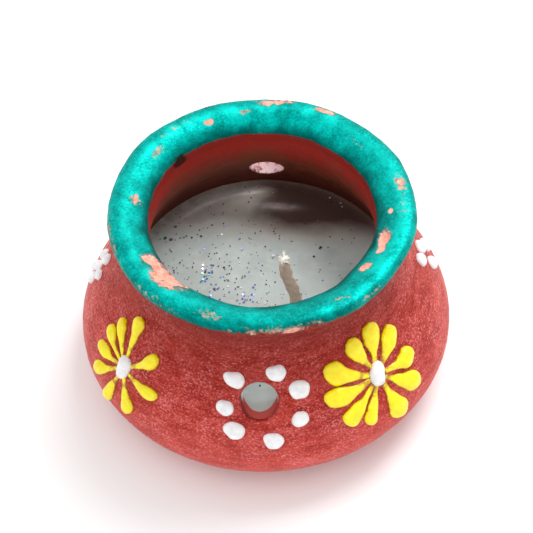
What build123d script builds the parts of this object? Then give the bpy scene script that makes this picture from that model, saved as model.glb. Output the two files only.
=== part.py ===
from build123d import *
import math
import os

# Pot-shaped clay diya filled with wax. Millimetres, +Z up, origin at the centre of the flat base.
# Azimuths are degrees about +Z, measured from -Y (the front window) towards +X.

# Driving dimensions of the thrown pot
BELLY_R = 38.3
BELLY_Z = 11.6
BASE_R = 20.0
SHOULDER_R = 31.7
SHOULDER_Z = 23.3
NECK_R = 24.8
NECK_Z = 35.7
LIP_R = 25.7
LIP_Z = 41.2
LIP_HALF_WIDTH = 4.3
LIP_HALF_THICK = 2.3
LIP_TILT = 25.0
UNDERSIDE_R = 34.0
UNDERSIDE_Z = 4.2
BELLY_TOP_R = 36.4
BELLY_TOP_Z = 17.2

# Hollow inside the pot
FLOOR_Z = 4.0
FLOOR_R = 21.0
BOWL_R = 29.6
BOWL_Z = 11.5
THROAT_R = 21.9
THROAT_Z = 36.0
WAX_LEVEL_R = 27.8
WAX_TOP = 20.2
THIN_WALL_R = 26.1
THIN_WALL_Z = 25.0

# Windows punched through the shoulder, square to the wall: (azimuth, height of the centre)
WINDOWS = {"front": (0.0, 23.6), "back": (180.0, 28.0)}
WINDOW_R = 3.65
WINDOW_EDGE = 0.9

# Wick, its tin tab, and the glitter on the wax
WICK_WIDTH = 2.3
WICK_THICK = 1.5
WICK_FOOT = Vector(6.8, -6.8, WAX_TOP)
WICK_TIP = Vector(4.1, -4.2, 32.6)
TAB_R = 6.5
TAB_THICK = 0.4
COLLAR_R = 2.2
COLLAR_HEIGHT = 3.0
FLAKE_COUNT = 64
FLAKE_THICK = 0.12
GOLDEN_ANGLE = 137.508

# Liner-paint decoration, standing proud of the shoulder
DOT_RING_R = 7.4
DOT_RING_SHIFT = 0.9
DOT_RING_DROP = 1.4
DOT_R = 1.85
DOT_RISE = 1.0
DOT_TURNS = (19, 67, 112, 165, 228, 266, 314)
# Small rosettes of dots at the two sides: (azimuth, height of the middle, ring radius)
ROSETTES = {"right": (104.0, 21.8, 4.3), "left": (-96.5, 20.1, 2.9)}
ROSETTE_DOTS = 5
ROSETTE_DOT_R = 1.5
CENTRE_R = 2.3
CENTRE_RISE = 1.2
PETAL_RISE = 1.1
PETAL_START = 3.3
PETAL_NECK_R = 0.45
# Each petal is (turn from straight up, clockwise seen from outside; reach from the flower centre)
WIDE_FLOWER = (
    (22, 10.0), (56, 9.7), (100, 9.6), (133, 11.0), (170, 11.4),
    (215, 10.0), (240, 11.4), (272, 11.8), (303, 11.2), (346, 9.4),
)
SLIM_FLOWER = (
    (43, 8.6), (92, 9.8), (143, 9.2), (189, 9.6), (229, 9.2),
    (261, 8.8), (290, 9.2), (313, 9.4), (345, 10.2),
)
# Flower name: (azimuth, height of its centre, petals, widest petal tip radius)
FLOWERS = {
    "right_flower": (42.7, 22.1, WIDE_FLOWER, 2.2),
    "left_flower": (-51.1, 20.2, SLIM_FLOWER, 1.7),
    "back_right_flower": (145.0, 21.2, SLIM_FLOWER, 1.8),
    "back_left_flower": (-142.0, 21.2, WIDE_FLOWER, 2.1),
}


def out_dir(azimuth):
    """Horizontal unit vector pointing outwards at an azimuth."""
    a = math.radians(azimuth)
    return Vector(math.sin(a), -math.cos(a), 0)


def lip_face():
    """Tilted oval of the rolled lip, in the XZ plane."""
    oval = Ellipse(LIP_HALF_WIDTH, LIP_HALF_THICK, rotation=LIP_TILT)
    return Plane.XZ * Pos(LIP_R, LIP_Z) * oval


def outer_curve():
    """Outside of the body from the edge of the base up into the lip."""
    points = [
        (BASE_R, 0),
        (UNDERSIDE_R, UNDERSIDE_Z),
        (BELLY_R, BELLY_Z),
        (BELLY_TOP_R, BELLY_TOP_Z),
        (SHOULDER_R, SHOULDER_Z),
        (NECK_R + 1.0, NECK_Z - 4.4),
        (NECK_R, NECK_Z),
        (LIP_R, LIP_Z),
    ]
    return Spline(*[Vector(r, z) for r, z in points], tangents=[(1, 0.12), (0.6, 1)])


def inner_curve():
    """Inside of the body from the edge of the floor up into the lip."""
    points = [
        (FLOOR_R, FLOOR_Z),
        (BOWL_R, BOWL_Z),
        (WAX_LEVEL_R, WAX_TOP),
        (THIN_WALL_R, THIN_WALL_Z),
        (THROAT_R, THROAT_Z),
        (THROAT_R + 0.4, LIP_Z),
    ]
    return Spline(*[Vector(r, z) for r, z in points], tangents=[(1, 0.1), (0.1, 1)])


def turned(curve, floor_z):
    """Solid of revolution between the axis and a curve, flat at both ends."""
    low = curve @ 0
    high = curve @ 1
    edges = [
        Line((0, floor_z), low),
        curve,
        Line(high, (0, high.Y)),
        Line((0, high.Y), (0, floor_z)),
    ]
    return revolve(Plane.XZ * make_face(edges), Axis.Z)


def surface_plane(azimuth, height):
    """Plane on the shoulder: x runs sideways, y runs up the slope, z points out."""
    radius = radius_at(height)
    out = out_dir(azimuth)
    tilt = math.radians(slope_elevation(height))
    normal = out * math.cos(tilt) + Vector(0, 0, math.sin(tilt))
    sideways = Vector(0, 0, 1).cross(out)
    return Plane(origin=out * radius + Vector(0, 0, height), x_dir=sideways, z_dir=normal)


OUTER = outer_curve()


def radius_at(height):
    """Outer radius of the body at a height on the shoulder, found by halving along the curve."""
    low, high = 0.0, 1.0
    for _ in range(40):
        mid = (low + high) / 2
        if (OUTER @ mid).Y < height:
            low = mid
        else:
            high = mid
    return (OUTER @ low).X


def slope_elevation(height):
    """Elevation in degrees of the outward normal of the body at a height."""
    step = 0.2
    fall = radius_at(height - step) - radius_at(height + step)
    return math.degrees(math.atan2(fall, 2 * step))


def window_bore(azimuth, height):
    """Round punch with a flared mouth, going through the wall along its normal."""
    across = surface_plane(azimuth, height)
    bore = across * Pos(0, 0, -3.0) * Cylinder(WINDOW_R, 12)
    flare = across * Pos(0, 0, 0.5) * Cone(WINDOW_R - 0.1, WINDOW_R + 2 * WINDOW_EDGE, 2.0)
    return bore + flare


def teardrop(start, reach, neck_r, tip_r, rise):
    """Flattened drop lying along +Y, from a narrow neck to a round tip, centred on its own plane."""
    near = start + neck_r
    far = reach - tip_r
    lean = math.asin((tip_r - neck_r) / (far - near))
    side, along = math.cos(lean), math.sin(lean)
    neck_side = (neck_r * side, near - neck_r * along)
    tip_side = (tip_r * side, far - tip_r * along)
    half = math.sqrt(0.5)
    edges = [
        ThreePointArc((0, start), (neck_r * half, near - neck_r * half), neck_side)
        if along < half else Line((0, start), neck_side),
        Line(neck_side, tip_side),
        ThreePointArc(tip_side, (tip_r * half, far + tip_r * half), (0, reach)),
        Line((0, reach), (0, start)),
    ]
    drop = revolve(make_face(edges), Axis.Y)
    return scale(drop, by=(1, 1, rise / tip_r))


pot_outside = turned(OUTER, 0)
pot_inside = turned(inner_curve(), FLOOR_Z)
lip_ring = revolve(lip_face(), Axis.Z)
bores = [window_bore(azimuth, height) for azimuth, height in WINDOWS.values()]

clay_pot = pot_outside - pot_inside + lip_ring
for bore in bores:
    clay_pot -= bore
envelope = pot_outside + lip_ring

# Poured wax fills the hollow, and the sunk part of each window, up to one level.
below_level = Pos(0, 0, (FLOOR_Z + WAX_TOP) / 2) * Cylinder(BELLY_R, WAX_TOP - FLOOR_Z)
wax_space = pot_inside
for bore in bores:
    wax_space += bore & pot_outside
wax_fill = wax_space & below_level

# The wick runs straight up from its tab, then leans to its trimmed tip.
tab_z = FLOOR_Z + TAB_THICK
wick_root = Vector(WICK_FOOT.X, WICK_FOOT.Y, tab_z)
wick_path = Polyline(wick_root, WICK_FOOT, WICK_TIP)
wick_face = Plane(origin=wick_root, x_dir=(1, 1, 0), z_dir=(0, 0, 1)) * RectangleRounded(
    WICK_WIDTH, WICK_THICK, 0.5
)
wick = sweep(wick_face, path=wick_path, transition=Transition.RIGHT)
tab = Pos(WICK_FOOT.X, WICK_FOOT.Y, FLOOR_Z + TAB_THICK / 2) * Cylinder(TAB_R, TAB_THICK)
collar_z = tab_z + COLLAR_HEIGHT / 2
collar = Pos(WICK_FOOT.X, WICK_FOOT.Y, collar_z) * Cylinder(COLLAR_R, COLLAR_HEIGHT)
wick_sustainer = tab + collar - wick
wax_fill = wax_fill - wick - wick_sustainer


def glitter():
    """Thin hexagonal flakes lying on the wax, thicker on the left and front-left."""
    flakes = []
    for k in range(FLAKE_COUNT):
        spread = math.sqrt((k + 0.5) / FLAKE_COUNT)
        turn = math.radians(k * GOLDEN_ANGLE)
        x = spread * math.cos(turn)
        y = spread * math.sin(turn)
        # pull the even spiral towards the left side of the pool
        x -= 0.30 * (1 - spread * spread)
        y -= 0.12 * (1 - spread * spread)
        x *= WAX_LEVEL_R - 2.0
        y *= WAX_LEVEL_R - 2.0
        if math.hypot(x - WICK_FOOT.X, y - WICK_FOOT.Y) < 3.0:
            continue
        size = 0.35 + 0.25 * abs(math.sin(2.3 * k))
        flake = RegularPolygon(size, 6, rotation=17 * k)
        base = Plane(origin=(x, y, WAX_TOP))
        flakes.append(extrude(base * flake, FLAKE_THICK))
    return Compound(flakes)


def dot(azimuth, height, sideways, up, radius):
    """One raised dot of paint near a point on the shoulder."""
    spot = draped(azimuth, height, sideways, up)
    blob = spot * scale(Sphere(radius), by=(1, 1.1, DOT_RISE / radius))
    return (blob - envelope).solid()


def window_dots(azimuth, height):
    """Ring of raised paint dots around one window, a little low and to one side."""
    dots = []
    for turn in DOT_TURNS:
        a = math.radians(turn)
        sideways = DOT_RING_R * math.sin(a) + DOT_RING_SHIFT
        up = DOT_RING_R * math.cos(a) - DOT_RING_DROP
        dots.append(dot(azimuth, height, sideways, up, DOT_R))
    return Compound(dots)


def rosette(azimuth, height, ring_r):
    """Small ring of dots round a middle dot."""
    dots = [dot(azimuth, height, 0, 0, ROSETTE_DOT_R)]
    for k in range(ROSETTE_DOTS):
        a = 2 * math.pi * k / ROSETTE_DOTS
        dots.append(dot(azimuth, height, ring_r * math.sin(a), ring_r * math.cos(a), ROSETTE_DOT_R))
    return Compound(dots)


def draped(azimuth, height, sideways, up):
    """Plane on the shoulder a given way sideways and up the slope from a point on it."""
    tilt = math.radians(slope_elevation(height))
    z = height + up * math.cos(tilt)
    turn = math.degrees(sideways / radius_at(z))
    return surface_plane(azimuth + turn, z)


def flower(name, azimuth, height, petals, tip_r):
    """A round centre and its petals, each its own solid: {node name: solid}."""
    made = {}
    heart = surface_plane(azimuth, height)
    centre = heart * scale(Sphere(CENTRE_R), by=(1, 1, CENTRE_RISE / CENTRE_R))
    made[name + "_centre"] = centre - envelope
    count = len(petals)
    for k, (turn, reach) in enumerate(petals):
        gaps = []
        for other in (petals[k - 1][0], petals[(k + 1) % count][0]):
            gap = abs(other - turn) % 360
            gaps.append(min(gap, 360 - gap))
        room = (reach - tip_r) * math.sin(math.radians(min(gaps) / 2))
        tip = min(tip_r, 0.9 * room)
        a = math.radians(turn)
        middle = (PETAL_START + reach) / 2
        spot = draped(azimuth, height, middle * math.sin(a), middle * math.cos(a))
        drop = teardrop(PETAL_START - middle, reach - middle, PETAL_NECK_R, tip, PETAL_RISE)
        petal = spot * Rot(0, 0, -turn) * drop - envelope
        made[f"{name}_petal_{k + 1:02d}"] = petal
    return made


nodes = {
    "clay_pot": clay_pot,
    "wax_fill": wax_fill,
    "wick": wick,
    "wick_sustainer": wick_sustainer,
    "glitter_flakes": glitter(),
}
for side, (azimuth, height) in WINDOWS.items():
    nodes[f"{side}_window_dots"] = window_dots(azimuth, height)
for side, (azimuth, height, ring_r) in ROSETTES.items():
    nodes[f"{side}_dot_rosette"] = rosette(azimuth, height, ring_r)
for name, (azimuth, height, petals, tip_r) in FLOWERS.items():
    nodes.update(flower(name, azimuth, height, petals, tip_r))

os.makedirs("parts", exist_ok=True)
for name, shape in nodes.items():
    export_step(shape, f"parts/{name}.step")
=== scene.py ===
import math

import bmesh
import bpy
import numpy as np
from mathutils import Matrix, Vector, noise


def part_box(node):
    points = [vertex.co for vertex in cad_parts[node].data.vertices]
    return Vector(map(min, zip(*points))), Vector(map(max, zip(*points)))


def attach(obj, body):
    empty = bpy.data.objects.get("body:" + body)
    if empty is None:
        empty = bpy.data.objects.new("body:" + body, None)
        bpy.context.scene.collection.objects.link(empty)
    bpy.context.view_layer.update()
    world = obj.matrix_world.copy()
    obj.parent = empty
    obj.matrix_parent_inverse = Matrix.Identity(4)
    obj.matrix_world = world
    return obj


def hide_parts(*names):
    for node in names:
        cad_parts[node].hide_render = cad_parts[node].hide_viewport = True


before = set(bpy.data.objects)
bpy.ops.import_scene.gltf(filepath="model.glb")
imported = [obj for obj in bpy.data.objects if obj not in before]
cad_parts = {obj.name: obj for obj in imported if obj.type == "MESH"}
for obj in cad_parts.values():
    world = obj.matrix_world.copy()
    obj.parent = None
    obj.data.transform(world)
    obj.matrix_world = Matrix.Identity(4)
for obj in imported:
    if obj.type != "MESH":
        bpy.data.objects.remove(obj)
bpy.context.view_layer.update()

# Lengths below are millimetres unless a name ends in _M. Azimuths are degrees about +Z,
# from -Y (the front window) towards +X.
MM = 0.001
rng = np.random.default_rng(20)

# ---------------------------------------------------------------- shape of the thrown pot
pot_low, pot_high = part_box("clay_pot")
BELLY_R = (pot_high[0] - pot_low[0]) / 2 / MM
BELLY_Z = 11.6
BASE_R = 20.0
LIP_R = 25.7
LIP_Z = 41.2
LIP_HALF_WIDTH = 4.25
LIP_HALF_THICK = 2.28
LIP_TILT = math.radians(25)
THROAT_R = 21.9
WAX_TOP = 20.2
OUTER_POINTS = (
    (BASE_R, 0), (34.0, 4.2), (BELLY_R - 0.1, BELLY_Z), (36.3, 17.2), (31.65, 23.3),
    (25.8, 31.3), (24.8, 35.7), (LIP_R, LIP_Z),
)
INNER_POINTS = (
    (21.0, 4.0), (29.6, 11.5), (27.8, WAX_TOP), (26.1, 25.0), (THROAT_R, 36.0),
    (THROAT_R + 0.4, LIP_Z),
)
# window name: (azimuth, height of its centre outside)
WINDOWS = {"front": (0.0, 23.6), "back": (180.0, 28.0)}
# rosette name: (azimuth, height of its middle)
ROSETTES = {"right": (104.0, 21.8), "left": (-96.5, 20.1)}
WINDOW_R = 3.6
WINDOW_DOT_R = 1.70
ROSETTE_DOT_R = {"right": 1.50, "left": 1.15}
OUTER_FILLET = 0.75
INNER_FILLET = 0.5


def unit(v):
    v = np.asarray(v, float)
    return v / np.linalg.norm(v)


def smoothstep(low, high, x):
    t = np.clip((np.asarray(x, float) - low) / (high - low), 0, 1)
    return t * t * (3 - 2 * t)


def wrap(degrees):
    """The same angle between -180 and 180 degrees."""
    return (np.asarray(degrees) + 180) % 360 - 180


def on_circle(radius, degrees):
    """x and y of points at azimuths in degrees."""
    a = np.radians(degrees)
    return radius * np.sin(a), -radius * np.cos(a)


def spline(points, start, end, count=120):
    """Smooth curve through points, with given end directions, as a list of (r, z)."""
    p = np.array(points, float)
    d = np.linalg.norm(np.diff(p, axis=0), axis=1)
    n = len(p)
    a = np.zeros((n, n))
    b = np.zeros((n, 2))
    a[0, 0] = a[-1, -1] = 1
    b[0], b[-1] = unit(start), unit(end)
    for i in range(1, n - 1):
        a[i, i - 1] = 1 / d[i - 1]
        a[i, i] = 2 / d[i - 1] + 2 / d[i]
        a[i, i + 1] = 1 / d[i]
        b[i] = 3 * ((p[i] - p[i - 1]) / d[i - 1] ** 2 + (p[i + 1] - p[i]) / d[i] ** 2)
    m = np.linalg.solve(a, b)
    out = []
    for i in range(n - 1):
        t = np.linspace(0, 1, count, endpoint=False)[:, None]
        out.append(
            (2 * t**3 - 3 * t**2 + 1) * p[i] + (t**3 - 2 * t**2 + t) * d[i] * m[i]
            + (3 * t**2 - 2 * t**3) * p[i + 1] + (t**3 - t**2) * d[i] * m[i + 1]
        )
    return np.vstack([*out, p[-1:]])


def lip_point(theta):
    x, y = LIP_HALF_WIDTH * np.cos(theta), LIP_HALF_THICK * np.sin(theta)
    c, s = math.cos(LIP_TILT), math.sin(LIP_TILT)
    return np.stack([LIP_R + x * c - y * s, LIP_Z + x * s + y * c], -1)


def lip_angle(p):
    """Angle round the lip's oval, and how far out p is in it (1 on its edge)."""
    dr, dz = p[0] - LIP_R, p[1] - LIP_Z
    c, s = math.cos(LIP_TILT), math.sin(LIP_TILT)
    x, y = (dr * c + dz * s) / LIP_HALF_WIDTH, (-dr * s + dz * c) / LIP_HALF_THICK
    return math.atan2(y, x), math.hypot(x, y)


PROFILE_STEP = 0.05
# the profile is evened out over this many steps, as a thrower's fingers would
SOFT_STEPS = 24


def pot_profile():
    """Closed half section from the base centre, up the outside, over the lip and down inside."""
    outer = spline(OUTER_POINTS, (1, 0.12), (0.6, 1))
    inner = spline(INNER_POINTS, (1, 0.1), (0.1, 1))
    outer = outer[: next(i for i, p in enumerate(outer) if lip_angle(p)[1] < 1)]
    inner = inner[: next(i for i, p in enumerate(inner) if lip_angle(p)[1] < 1)]
    first = lip_angle(outer[-1])[0]
    last = lip_angle(inner[-1])[0] % (2 * math.pi)
    lip = lip_point(np.linspace(first, last, 160))
    whole = np.vstack([[0, 0], outer, lip[1:-1], inner[::-1], [0, INNER_POINTS[0][1]]])
    at = np.r_[0, np.cumsum(np.linalg.norm(np.diff(whole, axis=0), axis=1))]
    s = np.arange(0, at[-1], PROFILE_STEP)
    r, z = np.interp(s, at, whole[:, 0]), np.interp(s, at, whole[:, 1])
    weights = np.exp(-0.5 * (np.arange(-SOFT_STEPS, SOFT_STEPS + 1) * 3 / SOFT_STEPS) ** 2)
    weights /= weights.sum()
    r, z = (np.convolve(np.pad(v, SOFT_STEPS, "edge"), weights, "valid") for v in (r, z))
    r[0] = r[-1] = 0
    return s, r, z


PS, PR, PZ = pot_profile()
DR, DZ = np.gradient(PR, PS), np.gradient(PZ, PS)
DLEN = np.hypot(DR, DZ)
NR, NZ = DZ / DLEN, -DR / DLEN
S_TOP = PS[np.argmax(PZ)]
S_LIP_OUT = PS[np.argmax(np.where((PZ > 38), PR, 0))]


def lip_s(theta_degrees):
    """Place along the profile of an angle round the lip's oval."""
    target = lip_point(math.radians(theta_degrees))
    return PS[np.argmin(np.hypot(PR - target[0], PZ - target[1]))]


def outer_s(height):
    """Place along the outside of a height on the shoulder."""
    side = (PS < S_LIP_OUT) & (PZ > BELLY_Z)
    return np.interp(height, PZ[side], PS[side])


S_TEAL_OUT = lip_s(-50)
S_TEAL_IN = lip_s(150)
S_NECK = outer_s(35.5)
# the teal coat stops short on the front of the lip
TEAL_GAP_AZIMUTH, TEAL_GAP_WIDTH, TEAL_GAP = 8.0, 34.0, 2.6
# olive smear inside, just under the lip: azimuth, place, half length, half height
SMEAR = (-132.0, lip_s(168), 2.4, 1.6)
S_WAX = PS[np.argmin(np.where(PS > S_TOP, np.abs(PZ - WAX_TOP), 99))]


def wobble(az, s):
    """Uneven hand throwing: how far the wall moves outwards and upwards."""
    a = np.radians(az)
    lip = smoothstep(S_NECK - 3, S_NECK + 4, s) * (1 - smoothstep(S_TEAL_IN + 2, S_TEAL_IN + 12, s))
    out = 0.22 * np.sin(2 * a + 0.6) + 0.20 * np.sin(3 * a + 1.9) + 0.13 * np.sin(5 * a + 0.4)
    out = out + 0.09 * np.sin(9 * a + 2.0) - 0.1
    rise = 0.14 * np.sin(2 * a + 2.2) + 0.10 * np.sin(4 * a + 0.3) + 0.07 * np.sin(7 * a) - 0.26
    body = 0.12 * np.sin(2 * a + 1.0) + 0.08 * np.sin(3 * a + 0.1 * s) - 0.12
    rings = 0.03 * np.sin(s * 2.1 + 0.5 * np.sin(a)) + 0.02 * np.sin(s * 4.7 + 1.3 * np.sin(2 * a))
    upright = smoothstep(BASE_R, BASE_R + 6, s)
    inside = smoothstep(S_TEAL_IN, S_TEAL_IN + 8, s)
    return (lip * out + (1 - lip) * (body + rings) * (1 - 0.6 * inside)) * upright, lip * rise


def surf(az, s, h=0.0):
    """Point h off the pot's skin, in millimetres."""
    az, s, h = np.broadcast_arrays(
        np.asarray(az, float), np.asarray(s, float), np.asarray(h, float)
    )
    out, rise = wobble(az, s)
    r = np.interp(s, PS, PR)
    r = r + h * np.interp(s, PS, NR) + out * np.clip(r / 10, 0, 1)
    z = np.interp(s, PS, PZ) + h * np.interp(s, PS, NZ) + rise
    return np.stack([*on_circle(r, az), z], -1)


def field(points, scale, seed, octaves=3):
    """Smooth noise, about -1 to 1, at points in millimetres."""
    shift = Vector((seed * 17.3, seed * 5.1, seed * 9.7))
    flat = np.asarray(points, float).reshape(-1, 3)
    got = [noise.fractal(Vector(p) / scale + shift, 0.6, 2.1, octaves) for p in flat]
    return np.array(got).reshape(np.shape(points)[:-1])


# ---------------------------------------------------------------- wear on the rim
# Each worn spot: azimuth, angle round the lip's oval, half length, half height, turn, depth
CHIPS = (
    (-45, 112, 4.4, 3.1, -8, 0.55), (-57, 100, 1.8, 1.8, 20, 0.35), (-39, 122, 2.4, 2.0, 0, 0.4),
    (71, 98, 2.9, 1.3, 12, 0.35), (65, 90, 1.0, 0.7, 0, 0.2), (53, 96, 1.5, 1.1, 0, 0.3),
    (-154, 88, 1.0, 0.6, 0, 0.15), (176, 36, 2.7, 1.0, 8, 0.7),
    (154, 40, 1.9, 0.7, 0, 0.12), (88, 94, 0.6, 0.5, 0, 0.2),
    (-95, 96, 1.5, 0.5, 0, 0.12), (12, -8, 1.6, 0.5, 0, 0.15),
    (102, 52, 1.0, 0.6, 60, 0.12),
)
# Each scuffed zone: azimuth, angle round the oval, half length, half height, strength
SCUFFS = (
    (-17, 48, 4.0, 1.8, 0.75), (8, 5, 13.0, 1.5, 0.85), (33, 60, 3.5, 2.0, 0.6),
    (102, 54, 5.0, 2.2, 0.9), (88, 60, 9.0, 2.6, 0.45), (-125, 88, 3.4, 1.6, 0.85),
    (-76, 8, 14.0, 1.3, 0.75), (-171, 78, 2.6, 1.0, 1.0), (154, 38, 5.5, 1.8, 0.8),
    (178, 30, 9.0, 2.0, 0.6), (-94, 96, 2.0, 3.2, 0.8), (-46, 92, 6.0, 3.2, 0.4),
    (-138, 60, 8.0, 2.0, 0.5), (132, 84, 7.0, 1.8, 0.45), (45, 8, 8.0, 1.3, 0.6),
    (-40, 5, 9.0, 1.4, 0.6), (120, 10, 16.0, 1.5, 0.5), (-160, 10, 14.0, 1.5, 0.5),
)


def spot(az, s, centre_az, centre_s, half_u, half_v, turn=0.0):
    """1 at a spot's centre, 0 on its edge, negative outside it."""
    u = np.radians(wrap(az - centre_az)) * LIP_R
    v = np.asarray(s) - centre_s
    c, k = math.cos(math.radians(turn)), math.sin(math.radians(turn))
    return 1 - np.hypot((u * c + v * k) / half_u, (-u * k + v * c) / half_v)


def chip_field(az, s, points):
    ragged = 0.42 * field(points, 1.5, 1) + 0.2 * field(points, 0.6, 2)
    best = np.full(np.shape(az), NOT_CHIPPED)
    depth = np.zeros(np.shape(az))
    for a, th, hu, hv, turn, deep in CHIPS:
        one = spot(az, s, a, lip_s(th), hu, hv, turn) + ragged
        depth = np.where(one > best, deep, depth)
        best = np.maximum(best, one)
    return best, depth


def scuff_field(az, s):
    total = np.zeros(np.shape(az))
    for a, th, hu, hv, strength in SCUFFS:
        total = np.maximum(total, strength * np.clip(spot(az, s, a, lip_s(th), hu, hv), 0, 1))
    return total


# ---------------------------------------------------------------- mesh helpers
def mesh_object(name, points, faces, attributes=None):
    """Smooth-shaded mesh from points in millimetres, with float attributes per vertex."""
    mesh = bpy.data.meshes.new(name)
    mesh.from_pydata((np.asarray(points) * MM).tolist(), [], faces)
    mesh.validate()
    for key, values in (attributes or {}).items():
        mesh.attributes.new(key, "FLOAT", "POINT").data.foreach_set(
            "value", np.asarray(values, np.float32)
        )
    mesh.polygons.foreach_set("use_smooth", [True] * len(mesh.polygons))
    made = bpy.data.objects.new(name, mesh)
    bpy.context.scene.collection.objects.link(made)
    return made


def ring_faces(rings, n, first=0):
    """Quads joining rings of n points, each ring to the next."""
    faces = []
    for j in range(rings - 1):
        for i in range(n):
            a, b = first + j * n + i, first + j * n + (i + 1) % n
            faces.append((a, b, b + n, a + n))
    return faces


def finish_piece(piece, material, slot, *nodes):
    piece.data.materials.clear()
    piece.data.materials.append(material)
    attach(piece, "root")
    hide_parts(*nodes)
    return piece


def profile_rows(start, stop, step):
    return np.linspace(start, stop, max(2, int(round((stop - start) / step)) + 1))[:-1]


# ---------------------------------------------------------------- the pot
COLUMNS = 380
S_BASE = BASE_R - 0.5
S_IN_FINE = S_WAX + 2.5
ROWS = np.r_[
    profile_rows(1.5, S_BASE, 2.2), profile_rows(S_BASE, S_NECK - 2, 0.6),
    profile_rows(S_NECK - 2, lip_s(175), 0.42), profile_rows(lip_s(175), S_IN_FINE, 0.62),
    profile_rows(S_IN_FINE, PS[-1] - 1.0, 2.4), PS[-1] - 1.0,
]
# guide values where the skin carries no teal and no chip, and at the two poles
NOT_TEAL = -20.0
NOT_CHIPPED = -3.0
FAR_INSIDE = 50.0
# the front bore, lying in shade, gets less of the bores' painted light and keeps most of its red paint
FRONT_BORE_LIGHT = 0.45


def window_axis(azimuth, height):
    """Point on the outside, outward direction, and place inside where a window comes out."""
    s = outer_s(height)
    r, z = np.interp(s, PS, PR), np.interp(s, PS, PZ)
    nr, nz = np.interp(s, PS, NR), np.interp(s, PS, NZ)
    start = np.array([*on_circle(r, azimuth), z])
    out = np.array([*on_circle(nr, azimuth), nz])
    inside = (PS > S_TEAL_IN) & (np.hypot(PR - r, PZ - z) < 10)
    off = np.abs((PR - r) * nz - (PZ - z) * nr)
    s_in = PS[inside][np.argmin(off[inside])]
    return start, out, s, s_in


def off_axis(points, start, out):
    """Distance along an axis, and the sideways vector from it."""
    rel = points - start
    along = rel @ out
    return along, rel - along[..., None] * out


def window_rims(az_grid, s_grid, points):
    """Outer and inner rim of each window, and which points of the skin lie outside them all."""
    keep = np.ones(len(points), bool)
    rims = []
    for azimuth, height in WINDOWS.values():
        start, out, s_out, s_in = window_axis(azimuth, height)
        for s_mid, edge in ((s_out, WINDOW_R + OUTER_FILLET), (s_in, WINDOW_R + INNER_FILLET)):
            near = (np.abs(s_grid - s_mid) < 12) & ((s_grid < S_TOP) == (s_mid < S_TOP))
            near &= np.abs(wrap(az_grid - azimuth)) < 40
            side = np.linalg.norm(off_axis(points, start, out)[1], axis=1)
            hole = near & (side < edge)
            keep &= ~hole
            rims.append((azimuth, s_mid, edge, start, out, near & ~hole))
    return rims, keep


def snap_rims(az_grid, s_grid, quads, ends, rims):
    """Slides the points on each hole's edge over the skin until they lie on the bore's rim."""
    edges = np.sort(np.vstack([quads[:, [k, (k + 1) % 4]] for k in range(4)]), axis=1)
    pairs, used = np.unique(edges, axis=0, return_counts=True)
    open_edges = pairs[used == 1]
    open_edges = open_edges[~np.isin(open_edges, ends).all(1)]
    loops = []
    for azimuth, s_mid, edge, start, out, near in rims:
        mine = open_edges[near[open_edges].all(1)]
        verts = np.unique(mine)
        da = wrap(az_grid[verts] - azimuth)
        ds = s_grid[verts] - s_mid
        for _ in range(6):
            p = surf(azimuth + da, s_mid + ds)
            side = np.linalg.norm(off_axis(p, start, out)[1], axis=1)
            da, ds = da * edge / side, ds * edge / side
        az_grid[verts], s_grid[verts] = azimuth + da, s_mid + ds
        loops.append((mine, start, out))
    return loops


def uneven_skin(az_grid, s_grid, base, rims, chip, depth):
    """Height of the skin over the turned shape: lumps, chips and rings round the windows."""
    cut = depth * smoothstep(0.0, 0.3, chip) * (1 + 0.5 * field(base, 0.9, 3, 2))
    skin = 0.045 * field(base, 2.6, 4) + 0.018 * field(base, 0.8, 5, 2)
    upright = smoothstep(BASE_R, BASE_R + 6, s_grid)
    lumps = 0.18 * np.clip(field(base, 6.0, 6, 2), -1, 1) * smoothstep(S_NECK, S_NECK + 4, s_grid)
    lumps *= 1 - smoothstep(S_TEAL_IN, S_TEAL_IN + 5, s_grid)
    for _, s_mid, _, start, out, near in rims:
        # the punch pushed up a faint ring of clay round the lower side of each window
        side = np.linalg.norm(off_axis(base, start, out)[1], axis=1)
        low = smoothstep(1.0, -3.0, s_grid - s_mid) * (s_grid < S_TOP) * near
        skin = skin - 0.16 * low * np.exp(-(((side - 5.3) / 0.35) ** 2))
        skin = skin + 0.10 * low * np.exp(-(((side - 6.0) / 0.5) ** 2))
    return (skin + lumps * 0.6 - 0.1) * upright - cut


def paint_guides(az_grid, s_grid, base, chip):
    """Values at each point that tell the paint material where it is."""
    gap = wrap(az_grid - TEAL_GAP_AZIMUTH)
    edge_s = S_TEAL_OUT + TEAL_GAP * np.exp(-((gap / TEAL_GAP_WIDTH) ** 2))
    return {
        "chip": chip,
        "scuff": scuff_field(az_grid, s_grid),
        "teal": np.minimum(s_grid - edge_s, S_TEAL_IN - s_grid),
        "inner": s_grid - S_TEAL_IN,
        "smear": spot(az_grid, s_grid, *SMEAR) + 0.3 * field(base, 1.2, 9),
    }


def smooth_near(bm, rim_verts):
    """Evens out the two rows of skin next to the holes."""
    near_rim = set()
    for v in rim_verts:
        for e in v.link_edges:
            w = e.other_vert(v)
            near_rim.add(w)
            near_rim |= {f.other_vert(w) for f in w.link_edges}
    near_rim -= rim_verts
    for _ in range(4):
        bmesh.ops.smooth_vert(
            bm, verts=list(near_rim), factor=0.5, use_axis_x=True, use_axis_y=True, use_axis_z=True
        )


def in_order(edges):
    """Point numbers round a closed loop of edges."""
    link = {}
    for a, b in edges:
        link.setdefault(a, []).append(b)
        link.setdefault(b, []).append(a)
    at = [edges[0][0], edges[0][1]]
    while True:
        following = [k for k in link[at[-1]] if k != at[-2]]
        if not following or following[0] == at[0]:
            return at
        at.append(following[0])


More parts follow.
